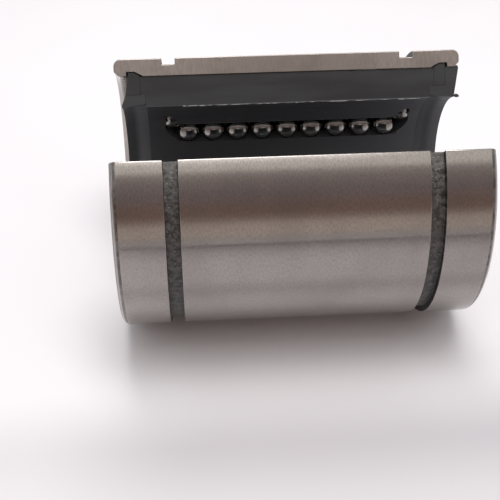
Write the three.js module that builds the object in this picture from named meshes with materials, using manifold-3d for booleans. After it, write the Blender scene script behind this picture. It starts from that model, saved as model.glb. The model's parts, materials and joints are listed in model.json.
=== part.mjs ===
// Open linear ball bushing for a 20 mm supported shaft, in millimetres.
// A slotted steel sleeve holds a black resin cage in which three closed circuits of steel balls run.
// The bore runs along X, the slot faces +Z, and the sleeve rests on the line through the origin.
// An angle is measured round the bore axis from +Z towards -Y.
import * as THREE from "three";
import { mergeVertices } from "three/addons/utils/BufferGeometryUtils.js";
import Module from "manifold-3d";

// ---- driving dimensions ----
const SLEEVE_RADIUS = 16;
const SLEEVE_LENGTH = 42;
const SHAFT_RADIUS = 10;
const BALL_RADIUS = 3.175 / 2;
const SLOT_HALF_ANGLE = THREE.MathUtils.degToRad(37);

// sleeve
const CHAMFER = 0.6;
const RING_GROOVE_SPAN = 30.5; // over the outer walls of the two circlip grooves
const RING_GROOVE_WIDTH = 1.6;
const RING_GROOVE_RADIUS = 15.25;
const RELIEF_RADIUS = 13.9; // bore between the raceways
const RACEWAY_RADIUS = 13.22;
const RACEWAY_HALF_ANGLE = THREE.MathUtils.degToRad(9);
const RACEWAY_HALF_LENGTH = 13.3;
const SNAP_GROOVE_RADIUS = 14.45; // holds the end rings
const SNAP_GROOVE_OUTER = 19.5;
const SNAP_GROOVE_INNER = 18.55;
const SNAP_FLANK_END = 17.5;
const MOUTH_RADIUS = 13.95;
const SLEEVE_SEGMENTS = 60;

// cage
const CAGE_BORE_RADIUS = 10.25;
const CAGE_OUTER_RADIUS = 13.65;
const CAGE_OVER_RACEWAY_RADIUS = 13.0;
const CAGE_HALF_LENGTH = 17.9;
const CAGE_COUNTERBORE_RADIUS = 11.7;
const CAGE_COUNTERBORE_START = 17.3;
const CAGE_SEGMENTS = 60;
const CUT_INSET = 0.12; // the resin and rubber stand this much back from the sleeve's cut faces

// end rings and wiper seals
const END_RING_START = 18.15;
const END_RING_END = 19.3;
const END_RING_BORE = 11.75;
const END_RING_RADIUS = 13.65;
const SNAP_BEAD_RADIUS = 14.2;
const SNAP_BEAD_RUN = 0.15;
const SEAL_START = 17.55;
const SEAL_SPIGOT_RADIUS = 11.5;
const SEAL_LIP_RADIUS = 10.15;
const SEAL_MOUTH_RADIUS = 10.6;
const SEAL_FLANGE_START = 19.55;
const SEAL_FLANGE_END = 20.95;
const SEAL_FLANGE_RADIUS = 13.6;
const SEAL_FACE_SLOPE = 0.6; // how far the flange's face falls back at the lip
const SLANT_REACH = 0.45; // how far the -X ring's face leans out at its bore
const SLANT_LIP_END = 20.2; // end of the -X seal's lip
const RING_SEGMENTS = 48;

// ball circuits
const SIDE_LOAD_ANGLE = THREE.MathUtils.degToRad(87.5);
const LOADED_RADIUS = SHAFT_RADIUS + BALL_RADIUS; // ball centres in the loaded lane
const RETURN_RADIUS = 12.25; // ball centres in the return lane
const LANE_SPACING = 4.8; // straight across from lane to lane
const TURN_RADIUS = LANE_SPACING / 2;
const LANE_HALF_LENGTH = 12.8; // reached by the straight lanes
const TURN_CENTRE = 12.4; // from a circuit's middle to the axis of each turn
const CIRCUIT_SHIFT = 0.4; // the circuits' middle stands this far to +X
const BALL_PITCH = 3.2;
const LOADED_ROW_COUNT = 8;
const TURN_START = THREE.MathUtils.degToRad(10); // where a ball takes up its turn
const TURN_STEP = THREE.MathUtils.degToRad(84); // from ball to ball round a turn
const RETURN_ROW_COUNT = 7;
const RETURN_ROW_START = 12.5;
const RETURN_PITCH = 3.633;
const TRACK_RADIUS = 1.75; // of the groove that the balls run in
const TRACK_SIDES = 12;
const TURN_STEPS = 8;
const LINK_RADIUS = 0.3; // of the rod that joins a return row into one body
const WINDOW_LIP = { radius: 10.76, halfWidth: 1.54 }; // the bevelled lip on the return lane's side
const WINDOW_MOUTH = { radius: 9.5, halfWidth: 2.65 };
const WINDOW_PLAIN_HALF_WIDTH = 0.8; // the other lip is the track's own edge
const WINDOW_HALF_LENGTH = 14.4;
const PEEPHOLE_RADIUS = 0.6; // a small hole at each turn, over the outer half of its track
const PEEPHOLE_OFFSET = 0.6; // outwards from the turn's centre line

// Each phase is how far its balls have moved on towards +X in the loaded lane, in millimetres.
const CIRCUITS = [
  { name: "near", load: SIDE_LOAD_ANGLE, returnSide: -1, phase: 1.3 },
  { name: "far", load: -SIDE_LOAD_ANGLE, returnSide: 1, phase: 0.05 },
  { name: "bottom", load: Math.PI, returnSide: 1, phase: 2.2 },
];

const steel = new THREE.MeshStandardMaterial({ color: 0x9a948e, roughness: 0.35, metalness: 1 });
const ballSteel = new THREE.MeshStandardMaterial({ color: 0xd8d8d8, roughness: 0.08, metalness: 1 });
const resin = new THREE.MeshStandardMaterial({ color: 0x1c1d1f, roughness: 0.5, metalness: 0 });
const rubber = new THREE.MeshStandardMaterial({ color: 0x141415, roughness: 0.7, metalness: 0 });

const wasm = await Module();
wasm.setup();

// ---- solids ----

// A closed geometry as a manifold-3d solid.
function solidOf(geometry) {
  const bare = geometry.clone();
  bare.deleteAttribute("normal");
  bare.deleteAttribute("uv");
  const merged = mergeVertices(bare, 1e-4);
  return new wasm.Manifold(
    new wasm.Mesh({
      numProp: 3,
      vertProperties: merged.attributes.position.array,
      triVerts: new Uint32Array(merged.index.array),
    }),
  );
}

function geometryOf(solid) {
  const mesh = solid.getMesh();
  const geometry = new THREE.BufferGeometry();
  geometry.setAttribute("position", new THREE.BufferAttribute(mesh.vertProperties, 3));
  geometry.setIndex(new THREE.BufferAttribute(mesh.triVerts, 1));
  geometry.computeVertexNormals();
  return geometry;
}

// A ring about X from an outline of [x, radius] points, which run clockwise with X to the right.
function revolved(outline, segments) {
  const points = outline.map(([x, radius]) => new THREE.Vector2(radius, x));
  points.push(points[0].clone());
  const geometry = new THREE.LatheGeometry(points, segments);
  return solidOf(geometry.rotateZ(-Math.PI / 2));
}

// A prism along X whose section is a shape drawn in [across, up], which become [-Y, +Z].
function prismAlongX(shape, length, curveSegments = 12, middle = 0) {
  const geometry = new THREE.ExtrudeGeometry(shape, {
    depth: length,
    bevelEnabled: false,
    curveSegments,
  });
  geometry.translate(0, 0, -length / 2);
  const axes = new THREE.Matrix4().makeBasis(
    new THREE.Vector3(0, -1, 0),
    new THREE.Vector3(0, 0, 1),
    new THREE.Vector3(-1, 0, 0),
  );
  return solidOf(geometry.applyMatrix4(axes.setPosition(middle, 0, 0)));
}

// The wedge that opens the slot. An inset widens it by that much on each side.
function slotWedge(inset) {
  const reach = 2 * SLEEVE_RADIUS;
  const apex = -inset / Math.sin(SLOT_HALF_ANGLE);
  const halfWidth = reach * Math.tan(SLOT_HALF_ANGLE);
  const shape = new THREE.Shape();
  shape.moveTo(0, apex);
  shape.lineTo(halfWidth, apex + reach);
  shape.lineTo(-halfWidth, apex + reach);
  shape.closePath();
  return prismAlongX(shape, 2 * SLEEVE_LENGTH);
}

// A sector of a ring along X, centred on an angle and on x = middleX.
function ringSector(innerRadius, outerRadius, angle, halfAngle, length, middleX) {
  const shape = new THREE.Shape();
  const middle = Math.PI / 2 - angle; // from across towards up
  shape.absarc(0, 0, outerRadius, middle - halfAngle, middle + halfAngle, false);
  shape.absarc(0, 0, innerRadius, middle + halfAngle, middle - halfAngle, true);
  shape.closePath();
  return prismAlongX(shape, length, 6, middleX);
}

// ---- outer sleeve ----

// The grooves of one half, from the middle of the sleeve out, mirrored for the other half.
function mirroredOutline(outer, inner) {
  const flip = ([x, radius]) => [-x, radius];
  const outerLeft = outer.map(flip).reverse();
  const innerLeft = inner.map(flip);
  return [...inner.slice().reverse(), ...innerLeft, ...outerLeft, ...outer];
}

function outerSleeve() {
  const end = SLEEVE_LENGTH / 2;
  const grooveOuter = RING_GROOVE_SPAN / 2;
  const grooveInner = grooveOuter - RING_GROOVE_WIDTH;
  const outer = [
    [grooveInner, SLEEVE_RADIUS],
    [grooveInner, RING_GROOVE_RADIUS],
    [grooveOuter, RING_GROOVE_RADIUS],
    [grooveOuter, SLEEVE_RADIUS],
    [end - CHAMFER, SLEEVE_RADIUS],
    [end, SLEEVE_RADIUS - CHAMFER],
  ];
  const inner = [
    [SNAP_FLANK_END, RELIEF_RADIUS],
    [SNAP_GROOVE_INNER, SNAP_GROOVE_RADIUS],
    [SNAP_GROOVE_OUTER, SNAP_GROOVE_RADIUS],
    [SNAP_GROOVE_OUTER, MOUTH_RADIUS],
    [end - CHAMFER, MOUTH_RADIUS],
    [end, MOUTH_RADIUS + CHAMFER],
  ];
  let sleeve = revolved(mirroredOutline(outer, inner), SLEEVE_SEGMENTS);
  for (const { load } of CIRCUITS) {
    const land = ringSector(
      RACEWAY_RADIUS,
      (RELIEF_RADIUS + SLEEVE_RADIUS) / 2 - CHAMFER,
      load,
      RACEWAY_HALF_ANGLE,
      2 * RACEWAY_HALF_LENGTH,
      CIRCUIT_SHIFT,
    );
    sleeve = sleeve.add(land);
  }
  return geometryOf(sleeve.subtract(slotWedge(0)));
}

// ---- ball circuits ----

// A point of the cross-section at a radius and an angle.
function sectionPoint(radius, angle) {
  return new THREE.Vector3(0, -radius * Math.sin(angle), radius * Math.cos(angle));
}

// A circuit's plane: the lanes' mid point, the direction across the lanes, and the turns' common axis.
function circuitFrame({ load, returnSide }) {
  const cosine =
    (LOADED_RADIUS ** 2 + RETURN_RADIUS ** 2 - LANE_SPACING ** 2) / (2 * LOADED_RADIUS * RETURN_RADIUS);
  const loaded = sectionPoint(LOADED_RADIUS, load);
  const back = sectionPoint(RETURN_RADIUS, load + returnSide * Math.acos(cosine));
  const middle = loaded.clone().add(back).multiplyScalar(0.5);
  const across = back.clone().sub(loaded).normalize();
  const normal = new THREE.Vector3(1, 0, 0).cross(across);
  const outward = normal.dot(middle) > 0 ? normal.clone() : normal.clone().negate();
  return { loaded, back, middle, across, outward };
}

// A point of a turn: end is 1 at +X and -1 at -X; the angle grows from loaded lane to return lane.
function turnPoint(frame, end, angle) {
  return frame.middle
    .clone()
    .addScaledVector(frame.across, -TURN_RADIUS * Math.cos(angle))
    .add(new THREE.Vector3(CIRCUIT_SHIFT + end * (TURN_CENTRE + TURN_RADIUS * Math.sin(angle)), 0, 0));
}

// The centre line of a turn, a little past both of its ends.
class TurnCurve extends THREE.Curve {
  constructor(frame, end) {
    super();
    this.frame = frame;
    this.end = end;
  }
  getPoint(t) {
    return turnPoint(this.frame, this.end, Math.PI * t);
  }
}

function circle(radius, sides) {
  const shape = new THREE.Shape();
  for (let i = 0; i < sides; i++) {
    const angle = (2 * Math.PI * (i + 0.5)) / sides;
    const point = [radius * Math.cos(angle), radius * Math.sin(angle)];
    i ? shape.lineTo(...point) : shape.moveTo(...point);
  }
  shape.closePath();
  return shape;
}

// A round bar along X through a point of the cross-section, as long as a lane.
function barAlongX(point, radius, length, sides) {
  const bar = new THREE.CylinderGeometry(radius, radius, length, sides);
  bar.rotateZ(-Math.PI / 2).translate(CIRCUIT_SHIFT, point.y, point.z);
  return solidOf(bar);
}

// The stadium-shaped channel from the balls' centre line out to the sleeve.
function openChannel(frame) {
  const half = TURN_CENTRE;
  const stadium = (path, radius) => {
    path.moveTo(-half, -radius);
    path.lineTo(half, -radius);
    path.absarc(half, 0, radius, -Math.PI / 2, Math.PI / 2, false);
    path.lineTo(-half, radius);
    path.absarc(-half, 0, radius, Math.PI / 2, (3 * Math.PI) / 2, false);
    return path;
  };
  const shape = stadium(new THREE.Shape(), TURN_RADIUS + TRACK_RADIUS);
  shape.holes.push(stadium(new THREE.Path(), TURN_RADIUS - TRACK_RADIUS));
  const geometry = new THREE.ExtrudeGeometry(shape, {
    depth: CAGE_OUTER_RADIUS - SHAFT_RADIUS,
    bevelEnabled: false,
    curveSegments: TURN_STEPS,
  });
  const sideways = frame.outward.clone().cross(new THREE.Vector3(1, 0, 0));
  const axes = new THREE.Matrix4().makeBasis(new THREE.Vector3(1, 0, 0), sideways, frame.outward);
  axes.setPosition(frame.middle.x + CIRCUIT_SHIFT, frame.middle.y, frame.middle.z);
  return solidOf(geometry.applyMatrix4(axes));
}

// The window along the loaded lane, through which the balls meet the shaft, bevelled on one side.
function windowBevel({ load, returnSide }) {
  const behind = { radius: LOADED_RADIUS, halfWidth: WINDOW_LIP.halfWidth / 2 };
  const bevelled = [WINDOW_MOUTH, WINDOW_LIP, behind];
  const plain = [LOADED_RADIUS, WINDOW_MOUTH.radius].map((radius) => ({
    radius,
    halfWidth: WINDOW_PLAIN_HALF_WIDTH,
  }));
  const place = ({ radius, halfWidth }, sign) => [
    radius * Math.sin(load) + sign * halfWidth * Math.cos(load),
    radius * Math.cos(load) - sign * halfWidth * Math.sin(load),
  ];
  const shape = new THREE.Shape();
  const outline = [
    ...bevelled.map((side) => place(side, returnSide)),
    ...plain.map((side) => place(side, -returnSide)),
  ];
  outline.forEach(([across, up], i) => (i ? shape.lineTo(across, up) : shape.moveTo(across, up)));
  shape.closePath();
  return prismAlongX(shape, 2 * WINDOW_HALF_LENGTH, 1, CIRCUIT_SHIFT);
}

// The small hole through which a ball shows in its turn.
function peephole(frame, end) {
  const place = turnPoint(frame, end, Math.PI / 2).add(new THREE.Vector3(end * PEEPHOLE_OFFSET, 0, 0));
  const length = LOADED_RADIUS - WINDOW_MOUTH.radius;
  const hole = new THREE.CylinderGeometry(PEEPHOLE_RADIUS, PEEPHOLE_RADIUS, length, 10);
  hole.translate(0, -length / 2, 0);
  const up = new THREE.Vector3(0, 1, 0);
  hole.applyQuaternion(new THREE.Quaternion().setFromUnitVectors(up, frame.outward));
  return solidOf(hole.translate(place.x, place.y, place.z));
}

// Everything that a circuit takes out of the cage.
function trackCutter(circuit) {
  const frame = circuitFrame(circuit);
  const laneLength = 2 * LANE_HALF_LENGTH + 0.1;
  const turns = [-1, 1].map((end) => {
    const geometry = new THREE.ExtrudeGeometry(circle(TRACK_RADIUS, TRACK_SIDES), {
      extrudePath: new TurnCurve(frame, end),
      steps: TURN_STEPS,
      bevelEnabled: false,
    });
    return solidOf(geometry);
  });
  return [
    windowBevel(circuit),
    openChannel(frame),
    barAlongX(frame.loaded, TRACK_RADIUS, laneLength, TRACK_SIDES),
    barAlongX(frame.back, TRACK_RADIUS, laneLength, TRACK_SIDES),
    ...turns,
    ...[-1, 1].map((end) => peephole(frame, end)),
  ].reduce((all, piece) => all.add(piece));
}

// ---- cage, end rings and seals ----

function ballCage() {
  const end = CAGE_HALF_LENGTH;
  const step = CAGE_COUNTERBORE_START;
  const outline = [
    [end, CAGE_COUNTERBORE_RADIUS],
    [step, CAGE_COUNTERBORE_RADIUS],
    [step, CAGE_BORE_RADIUS],
    [-step, CAGE_BORE_RADIUS],
    [-step, CAGE_COUNTERBORE_RADIUS],
    [-end, CAGE_COUNTERBORE_RADIUS],
    [-end, CAGE_OUTER_RADIUS],
    [end, CAGE_OUTER_RADIUS],
  ];
  let cage = revolved(outline, CAGE_SEGMENTS);
  for (const circuit of CIRCUITS) {
    const overRaceway = ringSector(
      CAGE_OVER_RACEWAY_RADIUS,
      SLEEVE_RADIUS,
      circuit.load,
      RACEWAY_HALF_ANGLE + 0.04,
      2 * (RACEWAY_HALF_LENGTH + 0.4),
      CIRCUIT_SHIFT,
    );
    cage = cage.subtract(overRaceway).subtract(trackCutter(circuit));
  }
  return geometryOf(cage.subtract(slotWedge(CUT_INSET)));
}

// A ring at one end of the bushing: the outline runs anticlockwise at the +X end, clockwise once mirrored.
function endPiece(outline, end) {
  const placed = outline.map(([x, radius]) => [end * x, radius]);
  const ring = revolved(end > 0 ? placed.reverse() : placed, RING_SEGMENTS);
  return geometryOf(ring.subtract(slotWedge(CUT_INSET)));
}

// The face of the -X ring leans out towards the bore, as the lip of its seal does.
function endRing(end) {
  const outline = [
    [END_RING_END + (end < 0 ? SLANT_REACH : 0), END_RING_BORE],
    [END_RING_END, SNAP_BEAD_RADIUS],
    [SNAP_GROOVE_INNER + SNAP_BEAD_RUN, SNAP_BEAD_RADIUS],
    [END_RING_START, END_RING_RADIUS],
    [END_RING_START, END_RING_BORE],
  ];
  return endPiece(outline, end);
}

// The seal at +X has a flange over its end ring. The one at -X lies inside its ring and leans out.
function wiperSeal(end) {
  const slanted = [
    [SEAL_START, SEAL_SPIGOT_RADIUS],
    [SEAL_START, SEAL_MOUTH_RADIUS],
    [SLANT_LIP_END, SEAL_LIP_RADIUS],
    [END_RING_END + SLANT_REACH, SEAL_SPIGOT_RADIUS],
  ];
  const flanged = [
    [SEAL_START, SEAL_SPIGOT_RADIUS],
    [SEAL_START, SEAL_MOUTH_RADIUS],
    [SEAL_FLANGE_START, SEAL_LIP_RADIUS],
    [SEAL_FLANGE_END - SEAL_FACE_SLOPE, SEAL_LIP_RADIUS + 0.15],
    [SEAL_FLANGE_END, SEAL_FLANGE_RADIUS],
    [SEAL_FLANGE_START, SEAL_FLANGE_RADIUS],
    [SEAL_FLANGE_START, SEAL_SPIGOT_RADIUS],
  ];
  return endPiece(end > 0 ? flanged : slanted, end);
}

// ---- assembly ----

function mesh(name, geometry, material) {
  const made = new THREE.Mesh(geometry, material);
  made.name = name;
  return made;
}

function ball(name, place, geometry) {
  const made = mesh(name, geometry, ballSteel);
  made.position.copy(place);
  return made;
}

// The balls of one return row, joined by a thin rod into one body.
function returnRow(frame) {
  const places = Array.from({ length: RETURN_ROW_COUNT }, (_, i) => RETURN_ROW_START - i * RETURN_PITCH);
  const first = places[0];
  const last = places[places.length - 1];
  const rod = new THREE.CylinderGeometry(LINK_RADIUS, LINK_RADIUS, first - last, 6);
  rod.rotateZ(-Math.PI / 2).translate((first + last) / 2, 0, 0);
  const balls = places.map((x) => solidOf(new THREE.IcosahedronGeometry(BALL_RADIUS, 1).translate(x, 0, 0)));
  return geometryOf(balls.reduce((all, one) => all.add(one), solidOf(rod)));
}

// One circuit: the loaded row, two balls in each turn, and the return row.
function ballCircuit(circuit) {
  const group = new THREE.Group();
  const frame = circuitFrame(circuit);
  const sphere = new THREE.IcosahedronGeometry(BALL_RADIUS, 1);
  const turned = (TURN_STEP * circuit.phase) / BALL_PITCH;
  for (let i = 0; i < LOADED_ROW_COUNT; i++) {
    const place = frame.loaded.clone();
    place.x = CIRCUIT_SHIFT - LANE_HALF_LENGTH + circuit.phase + i * BALL_PITCH;
    group.add(ball(`${circuit.name}_loaded_ball_${i + 1}`, place, sphere));
  }
  for (let i = 0; i < 2; i++) {
    const right = turnPoint(frame, 1, TURN_START + i * TURN_STEP + turned);
    const left = turnPoint(frame, -1, TURN_START + (i + 1) * TURN_STEP - turned);
    group.add(ball(`${circuit.name}_right_turn_ball_${i + 1}`, right, sphere));
    group.add(ball(`${circuit.name}_left_turn_ball_${i + 1}`, left, sphere));
  }
  const row = mesh(`${circuit.name}_return_row`, returnRow(frame), ballSteel);
  row.position.copy(frame.back).setX(CIRCUIT_SHIFT - circuit.phase);
  group.add(row);
  return group;
}

const bushing = new THREE.Group();
bushing.position.z = SLEEVE_RADIUS;
bushing.add(mesh("outer_sleeve", outerSleeve(), steel));
bushing.add(mesh("ball_cage", ballCage(), resin));
bushing.add(mesh("left_end_ring", endRing(-1), resin));
bushing.add(mesh("right_end_ring", endRing(1), resin));
bushing.add(mesh("left_wiper_seal", wiperSeal(-1), rubber));
bushing.add(mesh("right_wiper_seal", wiperSeal(1), rubber));
CIRCUITS.forEach((circuit) => bushing.add(ballCircuit(circuit)));

const part = new THREE.Group();
part.add(bushing);

export default part;
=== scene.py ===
"""Open linear ball bushing: finished meshes, materials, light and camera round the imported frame.

The bore runs along X and the slot faces +Z. Angles are measured round the bore's axis, from +Z
towards -Y.
"""

import json
import math
import random

import bmesh
import bpy
from mathutils import Matrix, Vector


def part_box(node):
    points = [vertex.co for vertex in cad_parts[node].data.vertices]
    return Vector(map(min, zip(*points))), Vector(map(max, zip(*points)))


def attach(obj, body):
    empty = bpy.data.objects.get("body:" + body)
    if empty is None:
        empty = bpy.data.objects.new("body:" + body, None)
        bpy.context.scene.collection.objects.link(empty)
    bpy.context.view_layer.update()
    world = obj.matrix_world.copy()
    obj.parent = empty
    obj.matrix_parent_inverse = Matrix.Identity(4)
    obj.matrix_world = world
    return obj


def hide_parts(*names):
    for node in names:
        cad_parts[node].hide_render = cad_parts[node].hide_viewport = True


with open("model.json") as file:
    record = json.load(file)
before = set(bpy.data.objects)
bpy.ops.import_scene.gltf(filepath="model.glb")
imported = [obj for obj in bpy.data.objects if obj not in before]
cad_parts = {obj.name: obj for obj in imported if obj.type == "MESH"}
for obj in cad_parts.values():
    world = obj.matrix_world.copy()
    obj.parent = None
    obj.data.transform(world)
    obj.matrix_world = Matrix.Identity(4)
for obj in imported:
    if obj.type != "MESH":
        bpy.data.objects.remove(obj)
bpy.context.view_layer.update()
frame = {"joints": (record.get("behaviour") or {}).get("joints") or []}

MM = 0.001

# ---- sizes taken from the frame ----
sleeve_low, sleeve_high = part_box("outer_sleeve")
SLEEVE_RADIUS = (sleeve_high[1] - sleeve_low[1]) / 2
SLEEVE_HALF_LENGTH = (sleeve_high[0] - sleeve_low[0]) / 2
AXIS_HEIGHT = sleeve_low[2] + SLEEVE_RADIUS
SLOT_HALF_ANGLE = math.acos((sleeve_high[2] - AXIS_HEIGHT) / SLEEVE_RADIUS)
ball_low, ball_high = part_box("near_loaded_ball_1")
BALL_RADIUS = (ball_high[0] - ball_low[0]) / 2
cage_low, cage_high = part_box("ball_cage")
CAGE_HALF_LENGTH = (cage_high[0] - cage_low[0]) / 2
CAGE_RADIUS = (cage_high[1] - cage_low[1]) / 2
RIGHT_SEAL_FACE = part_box("right_wiper_seal")[1][0]

# ---- sizes of the finished pieces, in metres ----
END_ROUNDING = 0.85 * MM
INNER_CHAMFER = 0.55 * MM
GROOVE_SPAN = 30.5 * MM  # over the outer walls of the circlip grooves
GROOVE_WIDTH = 1.6 * MM
GROOVE_DEPTH = 0.75 * MM
RELIEF_RADIUS = 13.9 * MM
RACEWAY_RADIUS = 13.22 * MM
RACEWAY_HALF_ANGLE = math.radians(9)
RACEWAY_HALF_LENGTH = 13.3 * MM
SNAP_RADIUS = 14.45 * MM
SNAP_OUTER = 19.5 * MM
SNAP_INNER = 18.55 * MM
SNAP_FLANK_END = 17.5 * MM
MOUTH_RADIUS = 13.95 * MM
RING_FACE = 19.3 * MM
CUT_INSET = 0.12 * MM  # of the black pieces' cut faces, behind the sleeve's
CAGE_BORE = 10.25 * MM
BORE_TOLERANCE = 0.01 * MM
COUNTERBORE_RADIUS = 11.7 * MM
COUNTERBORE_START = 17.3 * MM
SEAM = 0.015 * MM  # between black pieces that touch
OVERLAP = 0.05 * MM  # of a piece set into the sleeve's wall
RING_BEAD = 0.18 * MM  # how far an end ring's bead stands into the snap groove
SEAL_THROAT = 10.6 * MM  # radius where a seal meets the cage
RIGHT_LIP = (10.25 * MM, 10.15 * MM, 10.3 * MM)  # radii of a seal's lip, from its root to its face
LEFT_LIP = (10.22 * MM, 10.2 * MM, 10.55 * MM)
LIP_STEP = 0.6 * MM  # lengthwise, at either end of the right seal's lip
SEAL_SHOULDER = 20.35 * MM  # where the right seal's rim begins
TAG_RADIUS = 10.45 * MM  # of the torn tag's foot
TAG_SETBACK = 0.75 * MM  # of the foot, behind the seal's face
WINDOW_LIP = (11.0 * MM, 1.33 * MM)  # radius and half width where the bevel meets the track
WINDOW_MOUTH = (9.5 * MM, 2.65 * MM)  # the bevel's other end, inside the bore
WINDOW_PLAIN = 0.8 * MM  # the other lip is the track's own edge
WINDOW_HALF_LENGTH = 14.4 * MM
PEEPHOLE_RADIUS = 0.40 * MM
PEEPHOLE_OFFSET = 0.40 * MM  # outwards from the turn's centre line
PEEPHOLE_RISE = 1.10 * MM  # towards the return lane
PEEPHOLE_MOUTH = 1.5  # times the radius, in the bore
PEEPHOLE_STRETCH = 1.2  # times the radius, across the row
PEEPHOLE_SINK = (-2.2 * MM, -1.5 * MM)  # of the mouth and of the countersink's foot
POCKET_RADIUS = 13.0 * MM  # of the cage's pocket for a raceway plate
POCKET_MARGIN = 0.4 * MM  # past the plate's ends
POCKET_MARGIN_ANGLE = 0.04  # past its sides, in radians
TRACK_CLEARANCE = 0.07 * MM
CHANNEL_INSET = 0.03 * MM  # keeps the channel's walls and foot inside the round track
CHANNEL_START = 0.2 * MM  # outwards from the balls' plane, and the channel's end beyond the cage
CHANNEL_END = 5 * MM
EDGE_ROUNDING = 0.09 * MM
FINE_ROUNDING = 0.04 * MM
RETURN_COUNT = 7  # balls in a return row
ANGLE_STEP = math.radians(2)
TUBE_SIDES = 28
SHARP_ANGLE = math.radians(32)  # an edge whose faces meet at more than this is sharp
SHARP_CAGE_ANGLE = math.radians(20)
TABLE_RADIUS = 0.9
# corners of the painted shadow strip on the table, behind the camera
SHEET_CORNERS = ((-0.5, -0.168), (0.5, -0.186), (0.5, -0.218), (-0.5, -0.200))
SHEET_HEIGHTS = (0.05 * MM, 0.6 * MM)  # above the table
WARM_WHITE = (1.0, 0.985, 0.97)

rng = random.Random(7)


# ---- mesh helpers ----
def section_point(radius, angle):
    """Y and Z at a radius and an angle from the slot's middle."""
    return -radius * math.sin(angle), AXIS_HEIGHT + radius * math.cos(angle)


def circle(sides):
    """Equal angles round a full turn."""
    return [2 * math.pi * k / sides for k in range(sides)]


def stitch(bm, rings, capped=True):
    """Joins each ring of vertices to the next one and, if capped, closes the two ends."""
    for ring, after in zip(rings, rings[1:]):
        for k in range(len(ring)):
            m = (k + 1) % len(ring)
            bm.faces.new((ring[k], ring[m], after[m], after[k]))
    if capped:
        for ring in (rings[0], rings[-1]):
            bm.faces.new(ring)


def smooth_by_angle(bm, limit):
    """Shades every face smooth and marks the edges where faces meet at more than a limit as sharp."""
    for face in bm.faces:
        face.smooth = True
    for edge in bm.edges:
        edge.smooth = not (len(edge.link_faces) == 2 and edge.calc_face_angle(0) > limit)


def mesh_object(name, bm):
    """A smooth-shaded object from a bmesh, with its sharp edges marked."""
    bmesh.ops.recalc_face_normals(bm, faces=bm.faces)
    smooth_by_angle(bm, SHARP_ANGLE)
    mesh = bpy.data.meshes.new(name)
    bm.to_mesh(mesh)
    bm.free()
    made = bpy.data.objects.new(name, mesh)
    bpy.context.scene.collection.objects.link(made)
    return made


def revolve(name, outline, start, stop, finishes=None, cut_finish=0):
    """A closed sector of a ring, from a loop of (x, radius) and a material index for each side."""
    bm = bmesh.new()
    count = max(2, round((stop - start) / ANGLE_STEP)) + 1
    rows = []
    for i in range(count):
        angle = start + (stop - start) * i / (count - 1)
        rows.append([bm.verts.new((x, *section_point(r, angle))) for x, r in outline])
    sides = len(outline)
    for row, after in zip(rows, rows[1:]):
        for k in range(sides):
            m = (k + 1) % sides
            face = bm.faces.new((row[k], row[m], after[m], after[k]))
            face.material_index = finishes[k] if finishes else 0
    for row in (rows[0], rows[-1]):
        bm.faces.new(row).material_index = cut_finish
    return mesh_object(name, bm)


def fillet(corner, before, after, radius, pieces=8):
    """The points that round a right-angled corner of an outline."""
    corner, before, after = Vector(corner), Vector(before), Vector(after)
    a = (before - corner).normalized() * radius
    b = (after - corner).normalized() * radius
    centre = corner + a + b
    points = []
    for i in range(pieces + 1):
        t = math.pi / 2 * i / pieces
        points.append(tuple(centre - b * math.cos(t) - a * math.sin(t)))
    return points


def round_edges(obj, width=EDGE_ROUNDING):
    bevel = obj.modifiers.new("rounded edges", "BEVEL")
    bevel.width = width
    bevel.segments = 3
    bevel.limit_method = "ANGLE"
    bevel.angle_limit = math.radians(40)
    bevel.use_clamp_overlap = True
    bevel.miter_outer = "MITER_ARC"
    weighted = obj.modifiers.new("even shading", "WEIGHTED_NORMAL")
    weighted.keep_sharp = True


def cut(obj, cutters):
    """Takes all the cutters out of the object at once, working in millimetres, and deletes them."""
    group = bpy.data.collections.new("cutters")
    for cutter in cutters:
        group.objects.link(cutter)
    for mesh in (obj.data, *(cutter.data for cutter in cutters)):
        mesh.transform(Matrix.Scale(1 / MM, 4))
    difference = obj.modifiers.new("cut", "BOOLEAN")
    difference.operation = "DIFFERENCE"
    difference.solver = "EXACT"
    difference.operand_type = "COLLECTION"
    difference.collection = group
    graph = bpy.context.evaluated_depsgraph_get()
    result = bpy.data.meshes.new_from_object(obj.evaluated_get(graph))
    result.transform(Matrix.Scale(MM, 4))
    obj.modifiers.remove(difference)
    old = obj.data
    obj.data = result
    bpy.data.meshes.remove(old)
    for cutter in cutters:
        bpy.data.objects.remove(cutter)
    bpy.data.collections.remove(group)


def mark_edges(obj, limit):
    """Cleans an object's mesh after a cut and marks its sharp edges."""
    bm = bmesh.new()
    bm.from_mesh(obj.data)
    bmesh.ops.remove_doubles(bm, verts=bm.verts, dist=1e-7)
    bmesh.ops.dissolve_degenerate(bm, edges=bm.edges, dist=1e-6)
    smooth_by_angle(bm, limit)
    bm.to_mesh(obj.data)
    bm.free()


def shade_bore(obj):
    """Splits the cage into triangles, and shades its bore as a cylinder and every other face flat."""
    mesh = obj.data
    bm = bmesh.new()
    bm.from_mesh(mesh)
    bmesh.ops.triangulate(bm, faces=bm.faces)
    bm.to_mesh(mesh)
    bm.free()
    normals = []
    for face in mesh.polygons:
        corners = [mesh.vertices[index].co for index in face.vertices]
        radii = [math.hypot(corner.y, corner.z - AXIS_HEIGHT) for corner in corners]
        on_bore = all(abs(radius - CAGE_BORE) < BORE_TOLERANCE for radius in radii)
        for corner in corners:
            inward = Vector((0, -corner.y, AXIS_HEIGHT - corner.z)).normalized()
            normals.append(inward if on_bore else face.normal.copy())
    mesh.normals_split_custom_set(normals)


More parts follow.
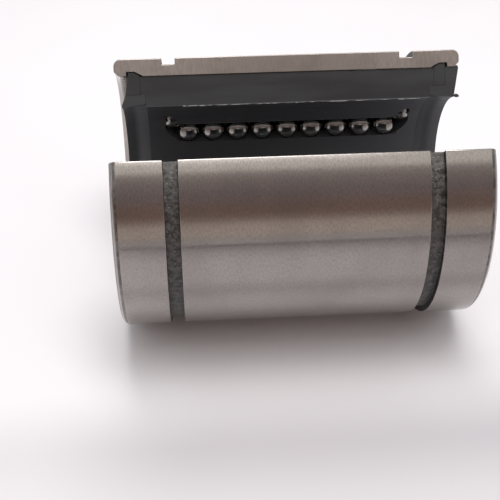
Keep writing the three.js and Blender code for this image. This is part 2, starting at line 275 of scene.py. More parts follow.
# ---- material helpers ----
class Nodes:
    """A short way to write a node material."""

    def __init__(self, name):
        self.material = bpy.data.materials.new(name)
        self.material.use_nodes = True
        self.tree = self.material.node_tree
        self.shader = self.tree.nodes["Principled BSDF"]
        self.place = self.add("ShaderNodeTexCoord").outputs["Object"]

    def add(self, kind, **settings):
        node = self.tree.nodes.new(kind)
        for key, value in settings.items():
            setattr(node, key, value)
        return node

    def put(self, socket, value):
        if isinstance(value, bpy.types.NodeSocket):
            self.tree.links.new(value, socket)
        else:
            socket.default_value = value

    def math(self, operation, *values):
        node = self.add("ShaderNodeMath", operation=operation)
        for socket, value in zip(node.inputs, values):
            self.put(socket, value)
        return node.outputs[0]

    def vector(self, x, y, z):
        node = self.add("ShaderNodeCombineXYZ")
        for socket, value in zip(node.inputs, (x, y, z)):
            self.put(socket, value)
        return node.outputs[0]

    def noise(self, vector, scale, detail=3.0, roughness=0.55):
        node = self.add("ShaderNodeTexNoise")
        self.put(node.inputs["Vector"], vector)
        node.inputs["Scale"].default_value = scale
        node.inputs["Detail"].default_value = detail
        node.inputs["Roughness"].default_value = roughness
        return node.outputs["Fac"]

    def spots(self, vector, scale):
        node = self.add("ShaderNodeTexVoronoi")
        self.put(node.inputs["Vector"], vector)
        node.inputs["Scale"].default_value = scale
        return node.outputs["Distance"]

    def ramp(self, value, low, high, to_low=0.0, to_high=1.0):
        node = self.add("ShaderNodeMapRange")
        node.interpolation_type = "SMOOTHSTEP"
        for socket, number in zip(node.inputs, (value, low, high, to_low, to_high)):
            self.put(socket, number)
        return node.outputs["Result"]

    def mix(self, factor, first, second):
        node = self.add("ShaderNodeMix", data_type="RGBA")
        self.put(node.inputs[0], factor)
        self.put(node.inputs[6], first)
        self.put(node.inputs[7], second)
        return node.outputs[2]

    def round_axis(self):
        """(distance along the bore, arc length round it at the sleeve's radius, radius), in metres."""
        split = self.add("ShaderNodeSeparateXYZ")
        self.put(split.inputs[0], self.place)
        x, y, z = split.outputs
        up = self.math("SUBTRACT", z, AXIS_HEIGHT)
        angle = self.math("ARCTAN2", y, self.math("MULTIPLY", up, -1.0))
        arc = self.math("MULTIPLY", angle, SLEEVE_RADIUS)
        squares = (self.math("MULTIPLY", y, y), self.math("MULTIPLY", up, up))
        radius = self.math("SQRT", self.math("ADD", *squares))
        return x, arc, radius

    def bump(self, height, strength, distance):
        node = self.add("ShaderNodeBump")
        node.inputs["Strength"].default_value = strength
        node.inputs["Distance"].default_value = distance
        self.put(node.inputs["Height"], height)
        self.put(self.shader.inputs["Normal"], node.outputs["Normal"])

    def finish(self, colour, roughness, metallic=0.0, **constants):
        self.put(self.shader.inputs["Base Color"], colour)
        self.put(self.shader.inputs["Roughness"], roughness)
        self.shader.inputs["Metallic"].default_value = metallic
        for key, value in constants.items():
            self.shader.inputs[key.replace("_", " ")].default_value = value
        return self.material


def grey(value, warm=0.0):
    return (value * (1 + warm), value, value * (1 - warm), 1.0)


def tinted(red, green, blue):
    """A dark colour from its red, and its green and blue as shares of the red."""
    return (red, red * green, red * blue, 1.0)


def ground_steel():
    """Ground outside of the sleeve: fine marks round it, faint stains, pits and a few scratches."""
    n = Nodes("ground steel")
    x, arc, _ = n.round_axis()
    marks = n.noise(n.vector(x, n.math("MULTIPLY", arc, 0.03), 0.0), 5200.0, 4.0, 0.7)
    broad = n.noise(n.vector(x, n.math("MULTIPLY", arc, 0.25), 0.0), 260.0, 3.0)
    stain = n.noise(n.vector(x, arc, 0.0), 95.0, 4.0, 0.6)
    pits = n.ramp(n.spots(n.vector(x, n.math("MULTIPLY", arc, 0.8), 0.3), 210.0), 0.05, 0.13, 1.0, 0.0)
    rare = n.ramp(n.noise(n.vector(x, arc, 0.7), 120.0, 2.0), 0.60, 0.68)
    pits = n.math("MULTIPLY", pits, rare)
    scratch = n.noise(n.vector(n.math("MULTIPLY", x, 0.06), arc, 0.2), 1500.0, 3.0, 0.6)
    scratch = n.ramp(scratch, 0.70, 0.76)
    base = n.mix(n.ramp(stain, 0.35, 0.7), (0.400, 0.372, 0.352, 1), (0.345, 0.318, 0.303, 1))
    base = n.mix(n.ramp(broad, 0.4, 0.72, 0.0, 0.35), base, (0.45, 0.42, 0.395, 1))
    base = n.mix(n.math("MULTIPLY", pits, 0.75), base, (0.10, 0.085, 0.08, 1))
    base = n.mix(n.math("MULTIPLY", scratch, 0.3), base, (0.25, 0.23, 0.22, 1))
    edge = n.math("SUBTRACT", n.math("ABSOLUTE", arc), SLEEVE_RADIUS * SLOT_HALF_ANGLE)
    wavy = n.noise(n.vector(x, 0.0, 0.0), 420.0, 4.0, 0.75)
    nick = n.math("MULTIPLY", n.ramp(edge, 0.0, 0.55 * MM, 1.0, 0.0), n.ramp(wavy, 0.50, 0.60))
    nick = n.math("MULTIPLY", nick, n.ramp(n.noise(n.vector(x, 0.0, 0.4), 75.0, 1.0), 0.42, 0.52))
    base = n.mix(n.math("MULTIPLY", nick, 0.9), base, (0.035, 0.032, 0.03, 1))
    grain = n.noise(n.vector(x, n.math("MULTIPLY", arc, 0.5), 0.0), 5200.0, 3.0, 0.7)
    base = n.mix(n.ramp(grain, 0.38, 0.66, 0.0, 0.42), base, (0.235, 0.215, 0.20, 1))
    rough = n.math("ADD", n.ramp(stain, 0.3, 0.75, 0.11, 0.16), n.math("MULTIPLY", pits, 0.3))
    height = n.math("SUBTRACT", n.math("ADD", marks, n.math("MULTIPLY", broad, 0.3)), pits)
    n.bump(height, 0.30, 0.02 * MM)
    return n.finish(base, rough, metallic=1.0)


def cut_steel():
    """Milled faces of the slot: duller and warmer, with marks straight across them."""
    n = Nodes("cut steel")
    x, _, radius = n.round_axis()
    marks = n.noise(n.vector(x, n.math("MULTIPLY", radius, 0.2), 0.0), 3600.0, 4.0, 0.65)
    broad = n.noise(n.vector(x, n.math("MULTIPLY", radius, 0.7), 0.0), 240.0, 3.0)
    base = n.mix(n.ramp(marks, 0.3, 0.7), (0.330, 0.296, 0.270, 1), (0.41, 0.374, 0.346, 1))
    base = n.mix(n.ramp(broad, 0.45, 0.7, 0.0, 0.45), base, (0.29, 0.25, 0.222, 1))
    # painted reflection: the cut faces are darker towards their middle
    middle = n.ramp(n.math("ABSOLUTE", x), 3 * MM, 15 * MM, 0.6, 0.0)
    base = n.mix(middle, base, (0.24, 0.212, 0.19, 1))
    n.bump(marks, 0.30, 0.03 * MM)
    return n.finish(base, n.ramp(broad, 0.3, 0.7, 0.38, 0.5), metallic=1.0)


def raceway_steel():
    """Raceways under a film of grease: dull, with faint rolling marks along them."""
    n = Nodes("raceway steel")
    x, arc, _ = n.round_axis()
    film = n.noise(n.vector(n.math("MULTIPLY", x, 0.2), arc, 0.0), 1800.0, 3.0)
    base = n.mix(n.ramp(film, 0.35, 0.65), (0.30, 0.30, 0.31, 1), (0.42, 0.42, 0.43, 1))
    n.bump(film, 0.15, 0.02 * MM)
    return n.finish(base, n.ramp(film, 0.3, 0.7, 0.42, 0.55), metallic=0.2)


def groove_steel():
    """Turned grooves and edges, left dark and mottled."""
    n = Nodes("groove steel")
    x, arc, _ = n.round_axis()
    mottle = n.noise(n.vector(x, arc, 0.0), 1500.0, 4.0, 0.7)
    patches = n.noise(n.vector(x, arc, 0.5), 300.0, 3.0)
    grit = n.ramp(n.spots(n.vector(x, arc, 0.0), 2300.0), 0.1, 0.35, 1.0, 0.0)
    base = n.mix(n.ramp(mottle, 0.35, 0.7), (0.055, 0.053, 0.052, 1), (0.17, 0.165, 0.16, 1))
    base = n.mix(n.ramp(patches, 0.5, 0.75, 0.0, 0.22), base, (0.20, 0.193, 0.185, 1))
    base = n.mix(n.math("MULTIPLY", grit, 0.35), base, (0.30, 0.295, 0.285, 1))
    n.bump(n.math("ADD", mottle, grit), 0.5, 0.04 * MM)
    return n.finish(base, n.ramp(mottle, 0.3, 0.7, 0.42, 0.62), metallic=0.85)


def black_resin(name="black resin", level=0.020, gloss=0.46, film=0.055, away=0.12):
    """Moulded black resin, with fine texture, faint flow lines and specks of dust.

    Level is its shade at the slot's faces. Away is painted light: a lighter shade in the hollows and
    tracks away from those faces. Film is the bore's shade, lighter than level as painted light and
    painted lighter towards the right end.
    """
    n = Nodes(name)
    x, arc, radius = n.round_axis()
    grain = n.noise(n.place, 2600.0, 4.0, 0.65)
    flow = n.noise(n.vector(n.math("MULTIPLY", x, 0.15), arc, radius), 420.0, 3.0)
    dust = n.ramp(n.spots(n.place, 900.0), 0.03, 0.10, 1.0, 0.0)
    dust = n.math("MULTIPLY", dust, n.ramp(n.noise(n.place, 160.0, 2.0), 0.55, 0.7))
    base = n.mix(n.ramp(flow, 0.35, 0.7), tinted(level, 1.03, 1.1), tinted(1.5 * level, 1.04, 1.12))
    face = SLEEVE_RADIUS * (math.pi - SLOT_HALF_ANGLE)  # arc length to the cut faces
    # painted light: the resin is lighter away from the slot's faces, where little light reaches
    painted_light_farther = n.ramp(n.math("ABSOLUTE", arc), face - 1.6 * MM, face - 0.7 * MM, 1.0, 0.0)
    bore = n.ramp(radius, CAGE_BORE + 0.05 * MM, CAGE_BORE + 0.2 * MM, 1.0, 0.0)
    base = n.mix(painted_light_farther, base, tinted(away, 1.05, 1.12))
    # painted light: the bore is lighter than the faces, and lighter towards the right end
    painted_light_spread = n.ramp(x, -CAGE_HALF_LENGTH, CAGE_HALF_LENGTH)
    painted_bore_light = n.mix(painted_light_spread, tinted(0.72 * film, 1.05, 1.15), tinted(1.55 * film, 1.05, 1.15))
    base = n.mix(bore, base, painted_bore_light)
    base = n.mix(n.math("MULTIPLY", dust, 0.35), base, grey(0.22))
    rough = n.ramp(flow, 0.3, 0.72, gloss - 0.07, gloss + 0.1)
    n.bump(n.math("ADD", grain, n.math("MULTIPLY", flow, 0.8)), 0.3, 0.02 * MM)
    return n.finish(base, rough, Specular_IOR_Level=0.45)


def ball_steel():
    """Polished balls with a film of oil: nearly a mirror, with faint smears."""
    n = Nodes("ball steel")
    smear = n.noise(n.place, 700.0, 3.0)
    fine = n.noise(n.place, 5200.0, 2.0)
    base = n.mix(n.ramp(smear, 0.4, 0.7), (0.31, 0.30, 0.285, 1), (0.25, 0.24, 0.23, 1))
    n.bump(fine, 0.04, 0.004 * MM)
    return n.finish(base, n.ramp(smear, 0.35, 0.7, 0.13, 0.21), metallic=1.0)


def pale_flash():
    """Torn moulding flash, whitened where it was cut."""
    n = Nodes("pale flash")
    blotch = n.noise(n.place, 1500.0, 3.0)
    base = n.mix(n.ramp(blotch, 0.42, 0.6), grey(0.04), grey(0.24, 0.03))
    n.bump(blotch, 0.4, 0.03 * MM)
    return n.finish(base, n.ramp(blotch, 0.3, 0.7, 0.5, 0.7))


def table_top():
    """A pale matt sheet with painted shade: greyer before the bushing and towards the camera, for its
    shadow and the light falling off.
    """
    n = Nodes("pale table")
    tone = n.noise(n.place, 14.0, 3.0)
    fine = n.noise(n.place, 900.0, 2.0)
    base = n.mix(n.ramp(tone, 0.35, 0.7), (0.84, 0.825, 0.85, 1), (0.80, 0.785, 0.812, 1))
    split = n.add("ShaderNodeSeparateXYZ")
    n.put(split.inputs[0], n.place)
    x, y, _ = split.outputs
    # painted shade: darker before the bushing and more so towards the camera, less on the left, fading
    # out at the painted shadow strip
    painted_shade = n.ramp(y, -0.027, -0.017, 1.0, 0.0)
    painted_shade = n.math("MULTIPLY", painted_shade, n.ramp(x, -0.034, -0.012, 0.42, 1.0))
    depth = n.math("ADD", n.ramp(y, -0.15, -0.05, 1.0, 0.45), n.ramp(y, -0.036, -0.026, 0.0, 0.35))
    painted_shade = n.math("MULTIPLY", painted_shade, depth)
    painted_shade = n.math("MULTIPLY", painted_shade, n.ramp(y, -0.20, -0.165, 0.0, 1.0))
    base = n.mix(painted_shade, base, (0.45, 0.433, 0.455, 1))
    n.bump(fine, 0.03, 0.02 * MM)
    return n.finish(base, n.ramp(tone, 0.3, 0.7, 0.5, 0.6))


def edge_steel():
    """The turned rounding of the end edges, darker than the ground outside."""
    n = Nodes("edge steel")
    x, arc, _ = n.round_axis()
    mottle = n.noise(n.vector(x, arc, 0.0), 900.0, 3.0, 0.6)
    base = n.mix(n.ramp(mottle, 0.35, 0.65), (0.13, 0.122, 0.116, 1), (0.24, 0.228, 0.218, 1))
    n.bump(mottle, 0.3, 0.02 * MM)
    return n.finish(base, n.ramp(mottle, 0.3, 0.7, 0.3, 0.42), metallic=1.0)


SLEEVE_FINISHES = (ground_steel(), cut_steel(), groove_steel(), edge_steel())
CUT_FINISH = 1
RACEWAY = raceway_steel()
# painted light: the cage's resin is far lighter away from the slot's faces
RESIN = black_resin(away=0.26)
RING_RESIN = black_resin("ring resin", level=0.021)
RUBBER = black_resin("seal rubber", level=0.024, gloss=0.60)
BALL = ball_steel()
FLASH = pale_flash()


def finish_piece(obj, body, slot, materials, *nodes):
    for material in materials:
        obj.data.materials.append(material)
    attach(obj, body)
    if nodes:
        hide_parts(*nodes)


# ---- outer sleeve ----
def sleeve_outline():
    """A loop of (x, radius), with each side's finish as a number in SLEEVE_FINISHES."""
    end, top, relief = SLEEVE_HALF_LENGTH, SLEEVE_RADIUS, RELIEF_RADIUS
    wall = GROOVE_SPAN / 2
    floor = top - GROOVE_DEPTH
    ground, _, groove, edge = range(len(SLEEVE_FINISHES))
    half = [
        ((wall - GROOVE_WIDTH, top), groove),
        ((wall - GROOVE_WIDTH, floor), groove),
        ((wall, floor), groove),
        ((wall, top), ground),
    ]
    rounding = fillet((end, top), (0, top), (end, 0), END_ROUNDING)
    # a thin dark line, a lighter chamfer, then a dark rounding down to the end face
    half += [(point, edge if i in (1, 2) or i > 4 else ground) for i, point in enumerate(rounding)]
    half += [
        ((end, MOUTH_RADIUS + INNER_CHAMFER), ground),
        ((end - INNER_CHAMFER, MOUTH_RADIUS), ground),
        ((SNAP_OUTER, MOUTH_RADIUS), groove),
        ((SNAP_OUTER, SNAP_RADIUS), groove),
        ((SNAP_INNER, SNAP_RADIUS), groove),
        ((SNAP_FLANK_END, relief), groove),
    ]
    points = [point for point, _ in half]
    finishes = [finish for _, finish in half]
    left_points = [(-x, r) for x, r in reversed(points)]
    left_finishes = [*reversed(finishes[:-1]), ground]
    return points + left_points, finishes + left_finishes


points, finishes = sleeve_outline()
cut_start, cut_stop = SLOT_HALF_ANGLE, 2 * math.pi - SLOT_HALF_ANGLE
sleeve = revolve("sleeve_shell", points, cut_start, cut_stop, finishes, cut_finish=CUT_FINISH)
round_edges(sleeve)
finish_piece(sleeve, "sleeve", "sleeve_steel", SLEEVE_FINISHES, "outer_sleeve")

# ---- circuits, read from the balls' places ----


def centre_of(node):
    low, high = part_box(node)
    return (Vector(low) + Vector(high)) / 2


class Circuit:
    def __init__(self, name):
        self.name = name
        self.loaded = centre_of(f"{name}_loaded_ball_1")
        places = {joint["name"]: joint["pos_m"] for joint in frame["joints"] if "pos_m" in joint}
        left, right = (Vector(places[f"{name}_{end}_turn_roll"]) for end in ("left", "right"))
        self.middle = (left + right) / 2
        self.half = (right.x - left.x) / 2  # from the circuit's middle to the axis of each turn
        self.loaded.x = self.middle.x
        self.back = 2 * self.middle - self.loaded
        self.across = self.back - self.loaded
        self.spacing = self.across.length
        self.across.normalize()
        outward = Vector((1, 0, 0)).cross(self.across)
        from_axis = self.middle - Vector((self.middle.x, 0, AXIS_HEIGHT))
        self.outward = outward if outward.dot(from_axis) > 0 else -outward
        self.angle = math.atan2(-self.loaded.y, self.loaded.z - AXIS_HEIGHT)

    def loop(self, radius, pieces=24):
        """Places round a stadium whose ends have this radius, as (along, across)."""
        places = []
        for end in (1, -1):
            for i in range(pieces + 1):
                angle = -math.pi / 2 + math.pi * i / pieces
                along, across = self.half + radius * math.cos(angle), radius * math.sin(angle)
                places.append((end * along, end * across))
        return places

    def at(self, along, across, out=0.0):
        return self.middle + Vector((along, 0, 0)) + self.across * across + self.outward * out

    def track_cutter(self):
        """The round track that the balls run in, as one closed tube."""
        bm = bmesh.new()
        radius = BALL_RADIUS + TRACK_CLEARANCE
        route = self.loop(self.spacing / 2)
        rings = []
        for i, (along, across) in enumerate(route):
            before, after = route[i - 1], route[(i + 1) % len(route)]
            run = Vector((after[0] - before[0], after[1] - before[1])).normalized()
            ring = []
            for turn in circle(TUBE_SIDES):
                reach = radius * math.cos(turn)
                place = self.at(along + run.y * reach, across - run.x * reach, radius * math.sin(turn))
                ring.append(bm.verts.new(place))
            rings.append(ring)
        stitch(bm, [*rings, rings[0]], capped=False)
        return mesh_object("cutter", bm)

    def window_cutter(self):
        """The bevelled window along the loaded lane."""
        radial = Vector((0, -math.sin(self.angle), math.cos(self.angle)))
        side = Vector((1, 0, 0)).cross(radial)
        if side.dot(self.across) < 0:
            side = -side  # towards the return lane
        axis = Vector((self.middle.x, 0, AXIS_HEIGHT))
        depth = (self.loaded - axis).length
        outline = [WINDOW_MOUTH, WINDOW_LIP, (depth, WINDOW_LIP[1] / 2)]
        outline += [(depth, -WINDOW_PLAIN), (WINDOW_MOUTH[0], -WINDOW_PLAIN)]
        bm = bmesh.new()
        ends = [
            [bm.verts.new(axis + radial * r + side * w + Vector((x, 0, 0))) for r, w in outline]
            for x in (-WINDOW_HALF_LENGTH, WINDOW_HALF_LENGTH)
        ]
        stitch(bm, ends)
        return mesh_object("cutter", bm)

    def peephole_cutter(self, end):
        """The small countersunk hole through which a ball shows in its turn."""
        bm = bmesh.new()
        middle = end * (self.half + self.spacing / 2 + PEEPHOLE_OFFSET)
        mouth, foot = PEEPHOLE_SINK
        wide = PEEPHOLE_MOUTH * PEEPHOLE_RADIUS
        rings = []
        for out, reach in ((mouth, wide), (foot, PEEPHOLE_RADIUS), (0.0, PEEPHOLE_RADIUS)):
            ring = []
            for turn in circle(TUBE_SIDES):
                along = reach * math.cos(turn)
                across = PEEPHOLE_STRETCH * reach * math.sin(turn)
                ring.append(bm.verts.new(self.at(middle + along, PEEPHOLE_RISE + across, out)))
            rings.append(ring)
        stitch(bm, rings)
        return mesh_object("cutter", bm)

    def channel_cutter(self):
        """The opening from the track's middle out to the sleeve, a ring-shaped prism."""
        bm = bmesh.new()
        reach = BALL_RADIUS + TRACK_CLEARANCE - CHANNEL_INSET
        wide = self.loop(self.spacing / 2 + reach)
        narrow = self.loop(self.spacing / 2 - reach)
        heights = (CHANNEL_START, CHANNEL_END)
        wide_rings, narrow_rings = (
            [[bm.verts.new(self.at(along, across, out)) for along, across in loop] for out in heights]
            for loop in (wide, narrow)
        )
        stitch(bm, [*wide_rings, narrow_rings[1], narrow_rings[0], wide_rings[0]], capped=False)
        return mesh_object("cutter", bm)


def ring_outline(low, high, inner, outer):
    return [(low, inner), (low, outer), (high, outer), (high, inner)]


circuits = [Circuit(name) for name in ("near", "far", "bottom")]

# ---- raceway plates ----
for circuit in circuits:
    middle, reach = circuit.middle.x, RACEWAY_HALF_LENGTH
    outline = ring_outline(middle - reach, middle + reach, RACEWAY_RADIUS, RELIEF_RADIUS + OVERLAP)
    low, high = circuit.angle - RACEWAY_HALF_ANGLE, circuit.angle + RACEWAY_HALF_ANGLE
    plate = revolve(f"{circuit.name}_raceway", outline, low, high)
    round_edges(plate)
    finish_piece(plate, "sleeve", "sleeve_steel", (RACEWAY,))

# ---- cage ----
inset_angle = math.asin(CUT_INSET / CAGE_RADIUS)
inset_start, inset_stop = cut_start + inset_angle, cut_stop - inset_angle


def cage_outline():
    end, step = CAGE_HALF_LENGTH, COUNTERBORE_START
    right = [(end, COUNTERBORE_RADIUS), (step, COUNTERBORE_RADIUS), (step, CAGE_BORE)]
    left = [(-x, r) for x, r in reversed(right)]
    outside = RELIEF_RADIUS - SEAM
    return right + left + [(-end, outside), (end, outside)]


cage = revolve("cage_shell", cage_outline(), inset_start, inset_stop)
cutters = []
for circuit in circuits:
    reach = RACEWAY_HALF_LENGTH + POCKET_MARGIN
    half_angle = RACEWAY_HALF_ANGLE + POCKET_MARGIN_ANGLE
    middle = circuit.middle.x
    outline = ring_outline(middle - reach, middle + reach, POCKET_RADIUS, SLEEVE_RADIUS)
    cutters.append(revolve("cutter", outline, circuit.angle - half_angle, circuit.angle + half_angle))
    cutters += [circuit.channel_cutter(), circuit.track_cutter(), circuit.window_cutter()]
    cutters += [circuit.peephole_cutter(end) for end in (-1, 1)]
cut(cage, cutters)
mark_edges(cage, SHARP_CAGE_ANGLE)
shade_bore(cage)
finish_piece(cage, "sleeve", "cage_resin", (RESIN,), "ball_cage")

# ---- end rings and seals ----
for side, end in (("right", 1), ("left", -1)):
    low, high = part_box(f"{side}_end_ring")
    near, away = CAGE_HALF_LENGTH + SEAM, max(abs(low[0]), abs(high[0]))
    bead = (high[1] - low[1]) / 2 + RING_BEAD
    outline = [
        (away, COUNTERBORE_RADIUS),
        (RING_FACE, bead),
        (SNAP_INNER + OVERLAP, bead),
        (near, RELIEF_RADIUS + OVERLAP),
        (near, COUNTERBORE_RADIUS),
    ]
    outline = [(end * x, r) for x, r in outline]
    ring = revolve(f"{side}_ring", outline, inset_start, inset_stop)
    round_edges(ring, FINE_ROUNDING)
    finish_piece(ring, "sleeve", "end_ring_resin", (RING_RESIN,), f"{side}_end_ring")

    ring_reach = away
    low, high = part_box(f"{side}_wiper_seal")
    near, away = COUNTERBORE_START + SEAM, max(abs(low[0]), abs(high[0]))
    spigot = COUNTERBORE_RADIUS - SEAM
    flange_start = RING_FACE + SEAM
    if end > 0:
        root, lip, face = RIGHT_LIP
        outline = [
            (near, spigot),
            (near, SEAL_THROAT),
            (flange_start - LIP_STEP, root),
            (flange_start, lip),
            (away - LIP_STEP, face),
            (away, MOUTH_RADIUS - 0.15 * MM),
            (away - 0.12 * MM, MOUTH_RADIUS + 0.2 * MM),
            (SEAL_SHOULDER, MOUTH_RADIUS - SEAM),
            (flange_start, MOUTH_RADIUS - SEAM),
            (flange_start, spigot),
        ]
    else:
        root, lip, face = LEFT_LIP
        outline = [
            (near, spigot),
            (near, SEAL_THROAT),
            (away - 0.35 * MM, root),
            (away, lip),
            (away, face),
            (ring_reach, spigot),
        ]
    outline = [(end * x, r) for x, r in outline]
    seal = revolve(f"{side}_seal", outline, inset_start, inset_stop)
    round_edges(seal, FINE_ROUNDING)
    finish_piece(seal, "sleeve", "seal_rubber", (RUBBER,), f"{side}_wiper_seal")


# ---- balls ----
# the single balls of a circuit: their names, the body they ride and how many there are
BALLS = (
    ("loaded_ball", "loaded_row", 8),
    ("right_turn_ball", "right_turn", 2),
    ("left_turn_ball", "left_turn", 2),
)


def add_ball(bm, centre):
    place = Matrix.Translation(centre)
    bmesh.ops.create_icosphere(bm, subdivisions=4, radius=BALL_RADIUS, matrix=place)


for circuit in circuits:
    for ball_name, body, count in BALLS:
        for i in range(count):
            node = f"{circuit.name}_{ball_name}_{i + 1}"
            bm = bmesh.new()
            add_ball(bm, centre_of(node))
            ball = mesh_object(f"{node}_polished", bm)
            finish_piece(ball, f"{circuit.name}_{body}", "ball_steel", (BALL,), node)
    node = f"{circuit.name}_return_row"
    low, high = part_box(node)
    first, last = high[0] - BALL_RADIUS, low[0] + BALL_RADIUS
    bm = bmesh.new()
    for i in range(RETURN_COUNT):
        x = first + (last - first) * i / (RETURN_COUNT - 1)
        add_ball(bm, (x, circuit.back.y, circuit.back.z))
    row = mesh_object(f"{circuit.name}_return_balls", bm)
    finish_piece(row, node, "ball_steel", (BALL,), node)


# ---- moulding flash and burrs ----
def wander(length, step, low, high, smooth=5):
    """Heights that wander between low and high, one per step along a length."""
    count = int(length / step) + 1
    raw = [rng.random() for _ in range(count + smooth)]
    means = [sum(raw[i : i + smooth]) / smooth for i in range(count)]
    least, most = min(means), max(means)
    return [low + (high - low) * (value - least) / (most - least) for value in means]


def ragged_strip(name, start, stop, radius, angle, out, heights):
    """A thin torn strip along the bore: its foot is at a radius and angle, and it stands along out."""
    thickness, root = 0.035 * MM, 0.03 * MM
    bm = bmesh.new()
    y, z = section_point(radius, angle)
    out = Vector(out).normalized()
    side = Vector((1, 0, 0)).cross(out) * thickness / 2
    rows = []
    for i, height in enumerate(heights):
        x = start + (stop - start) * i / (len(heights) - 1)
        foot = Vector((x, y, z)) - out * root
        tip = foot + out * (height + root)
        places = (foot - side, foot + side, tip + side * 0.3, tip - side * 0.3)
        rows.append([bm.verts.new(place) for place in places])
    stitch(bm, rows)
    return mesh_object(name, bm)


for name, sign in (("near", 1), ("far", -1)):
    angle = sign * inset_start
    radial = Vector((0, -math.sin(angle), math.cos(angle)))
    face = Vector((0, sign * math.cos(angle), sign * math.sin(angle)))  # out of the cut face
    length = 2 * CAGE_HALF_LENGTH
    heights = wander(0.82 * length, 0.16 * MM, 0.01 * MM, 0.20 * MM)
    start, stop, out = -0.36 * length, 0.45 * length, face - radial * 0.5
    edge = ragged_strip(f"{name}_bore_flash", start, stop, CAGE_BORE, angle, out, heights)
    finish_piece(edge, "sleeve", "cage_resin", (FLASH,))
    heights = wander(10.5 * MM, 0.14 * MM, 0.01 * MM, 0.22 * MM, 3)
    start, stop, out = 7.5 * MM, 18 * MM, face + radial * 0.2
    edge = ragged_strip(f"{name}_sleeve_burr", start, stop, RELIEF_RADIUS, angle, out, heights)
    finish_piece(edge, "sleeve", "sleeve_steel", (FLASH,))


def torn_tag(name, start, run, length, radius, curl):
    """A small tapered curl of resin left at a corner."""
    bm = bmesh.new()
    steps = 9
    place, direction = Vector(start), Vector(run).normalized()
    axis = Vector((0, 1, 0.4)).normalized()
    rows = []
    for i in range(steps):
        t = i / (steps - 1)
        width = radius * (0.8 + 1.1 * math.sin(math.pi * t) ** 2 * t)
        first = direction.orthogonal().normalized()
        second = direction.cross(first)
        spokes = [first * math.cos(turn) + second * math.sin(turn) for turn in circle(8)]
        rows.append([bm.verts.new(place + spoke * width) for spoke in spokes])
        place = place + direction * length / steps
        direction = Matrix.Rotation(curl / steps, 3, axis) @ direction
    stitch(bm, rows)
    return mesh_object(name, bm)


corner = Vector((RIGHT_SEAL_FACE - TAG_SETBACK, *section_point(TAG_RADIUS, -inset_start)))
tag = torn_tag("right_seal_tag", corner, run=(1, 0, 0.1), length=0.9 * MM, radius=0.17 * MM, curl=0.9)
finish_piece(tag, "sleeve", "seal_rubber", (RUBBER,))


# ---- stage ----
def floor_disc():
    bm = bmesh.new()
    bmesh.ops.create_circle(bm, cap_ends=True, segments=96, radius=TABLE_RADIUS)
    made = mesh_object("table_top", bm)
    made.location.z = sleeve_low[2]
    made.data.materials.append(table_top())


floor_disc()


def painted_shadow_strip():
    """Painted shadow: a dark strip on the table behind the camera, a thin shadow line for the sleeve
    to reflect.
    """
    bm = bmesh.new()
    heights = [sleeve_low[2] + height for height in SHEET_HEIGHTS]
    stitch(bm, [[bm.verts.new((x, y, z)) for x, y in SHEET_CORNERS] for z in heights])
    made = mesh_object("painted_shadow_strip", bm)
    made.data.materials.append(black_resin("painted shadow strip", level=0.01, gloss=0.7, film=0.02, away=0.03))


painted_shadow_strip()


def area_light(name, place, target, size, power):
    data = bpy.data.lights.new(name, "AREA")
    data.shape = "RECTANGLE"
    data.size, data.size_y = size
    data.energy = power
    data.color = WARM_WHITE
    lamp = bpy.data.objects.new(name, data)
    lamp.location = place
    lamp.rotation_mode = "QUATERNION"
    lamp.rotation_quaternion = (Vector(target) - Vector(place)).to_track_quat("-Z", "Y")
    bpy.context.scene.collection.objects.link(lamp)


world = bpy.data.worlds.new("studio")
bpy.context.scene.world = world
world.use_nodes = True
sky = world.node_tree
background = sky.nodes["Background"]
direction = sky.nodes.new("ShaderNodeTexCoord").outputs["Generated"]
split = sky.nodes.new("ShaderNodeSeparateXYZ")
sky.links.new(direction, split.inputs[0])
tilt = sky.nodes.new("ShaderNodeMath")
tilt.operation = "ARCTAN2"
flip = sky.nodes.new("ShaderNodeMath")
flip.operation = "MULTIPLY"
flip.inputs[1].default_value = -1
sky.links.new(split.outputs[1], flip.inputs[0])
sky.links.new(flip.outputs[0], tilt.inputs[0])
sky.links.new(split.outputs[2], tilt.inputs[1])
# tilt is 0 straight up and grows towards the camera's side
turn = sky.nodes.new("ShaderNodeMapRange")
turn.inputs["From Min"].default_value = -math.pi
turn.inputs["From Max"].default_value = math.pi
sky.links.new(tilt.outputs[0], turn.inputs["Value"])
bands = sky.nodes.new("ShaderNodeValToRGB")
sky.links.new(turn.outputs[0], bands.inputs[0])
sky.links.new(bands.outputs[0], background.inputs[0])
background.inputs[1].default_value = 1.0
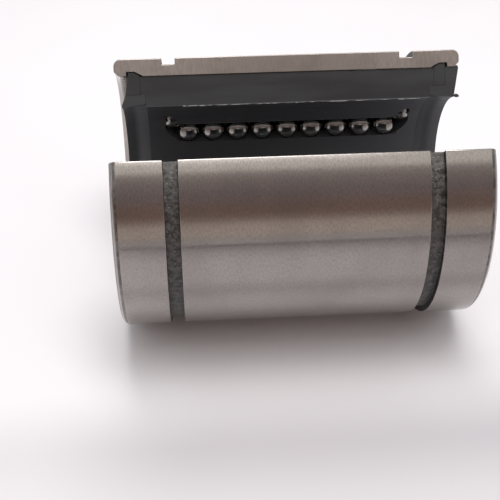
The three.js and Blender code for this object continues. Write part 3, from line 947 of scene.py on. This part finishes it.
# the brightness round the bushing by tilt, in degrees: the sleeve mirrors it
BANDS = [
    (-180, (0.40, 0.40, 0.42)),
    (-95, (0.50, 0.50, 0.52)),
    (-60, (0.60, 0.60, 0.62)),
    (0, (0.70, 0.70, 0.70)),
    (22, (0.95, 0.92, 0.90)),
    (33, (1.00, 0.95, 0.90)),
    (36, (0.50, 0.44, 0.42)),
    (42, (0.36, 0.31, 0.30)),
    (52, (0.28, 0.235, 0.24)),
    (60, (0.28, 0.21, 0.20)),
    (64, (0.275, 0.195, 0.17)),
    (71, (0.285, 0.20, 0.175)),
    (75, (0.40, 0.32, 0.28)),
    (79, (0.62, 0.53, 0.475)),
    (87, (0.66, 0.57, 0.52)),
    (91, (0.58, 0.53, 0.50)),
    (180, (0.40, 0.40, 0.42)),
]
while len(bands.color_ramp.elements) > 1:
    bands.color_ramp.elements.remove(bands.color_ramp.elements[0])
for index, (degrees, colour) in enumerate(BANDS):
    at = (degrees + 180) / 360
    element = bands.color_ramp.elements[0] if index == 0 else bands.color_ramp.elements.new(at)
    element.position = at
    element.color = (*colour, 1)

area_light("key", (0.008, 0.018, 0.28), target=(-0.005, 0.01, 0), size=(0.20, 0.08), power=0.50)
area_light("fill", (0.0, -0.10, 0.28), target=(0, 0, 0.012), size=(0.12, 0.05), power=0.055)

# ---- camera ----
camera_data = bpy.data.cameras.new("camera")
camera_data.sensor_width = 36
camera_data.lens = 71.6
camera_data.clip_start = 0.005
camera = bpy.data.objects.new("camera", camera_data)
bpy.context.scene.collection.objects.link(camera)
CAMERA_PLACE = Vector((-0.0123, -0.0922, AXIS_HEIGHT + 0.0799))
CAMERA_AZIMUTH = math.radians(-4.54)
CAMERA_ELEVATION = math.radians(44.38)
CAMERA_ROLL = math.radians(0.83)
back = Vector(
    (
        math.sin(CAMERA_AZIMUTH) * math.cos(CAMERA_ELEVATION),
        -math.cos(CAMERA_AZIMUTH) * math.cos(CAMERA_ELEVATION),
        math.sin(CAMERA_ELEVATION),
    )
)
camera.location = CAMERA_PLACE
camera.rotation_mode = "QUATERNION"
aim = (-back).to_track_quat("-Z", "Y")
camera.rotation_quaternion = aim @ Matrix.Rotation(CAMERA_ROLL, 3, "Z").to_quaternion()
bpy.context.scene.camera = camera

bpy.context.scene.view_settings.view_transform = "Standard"
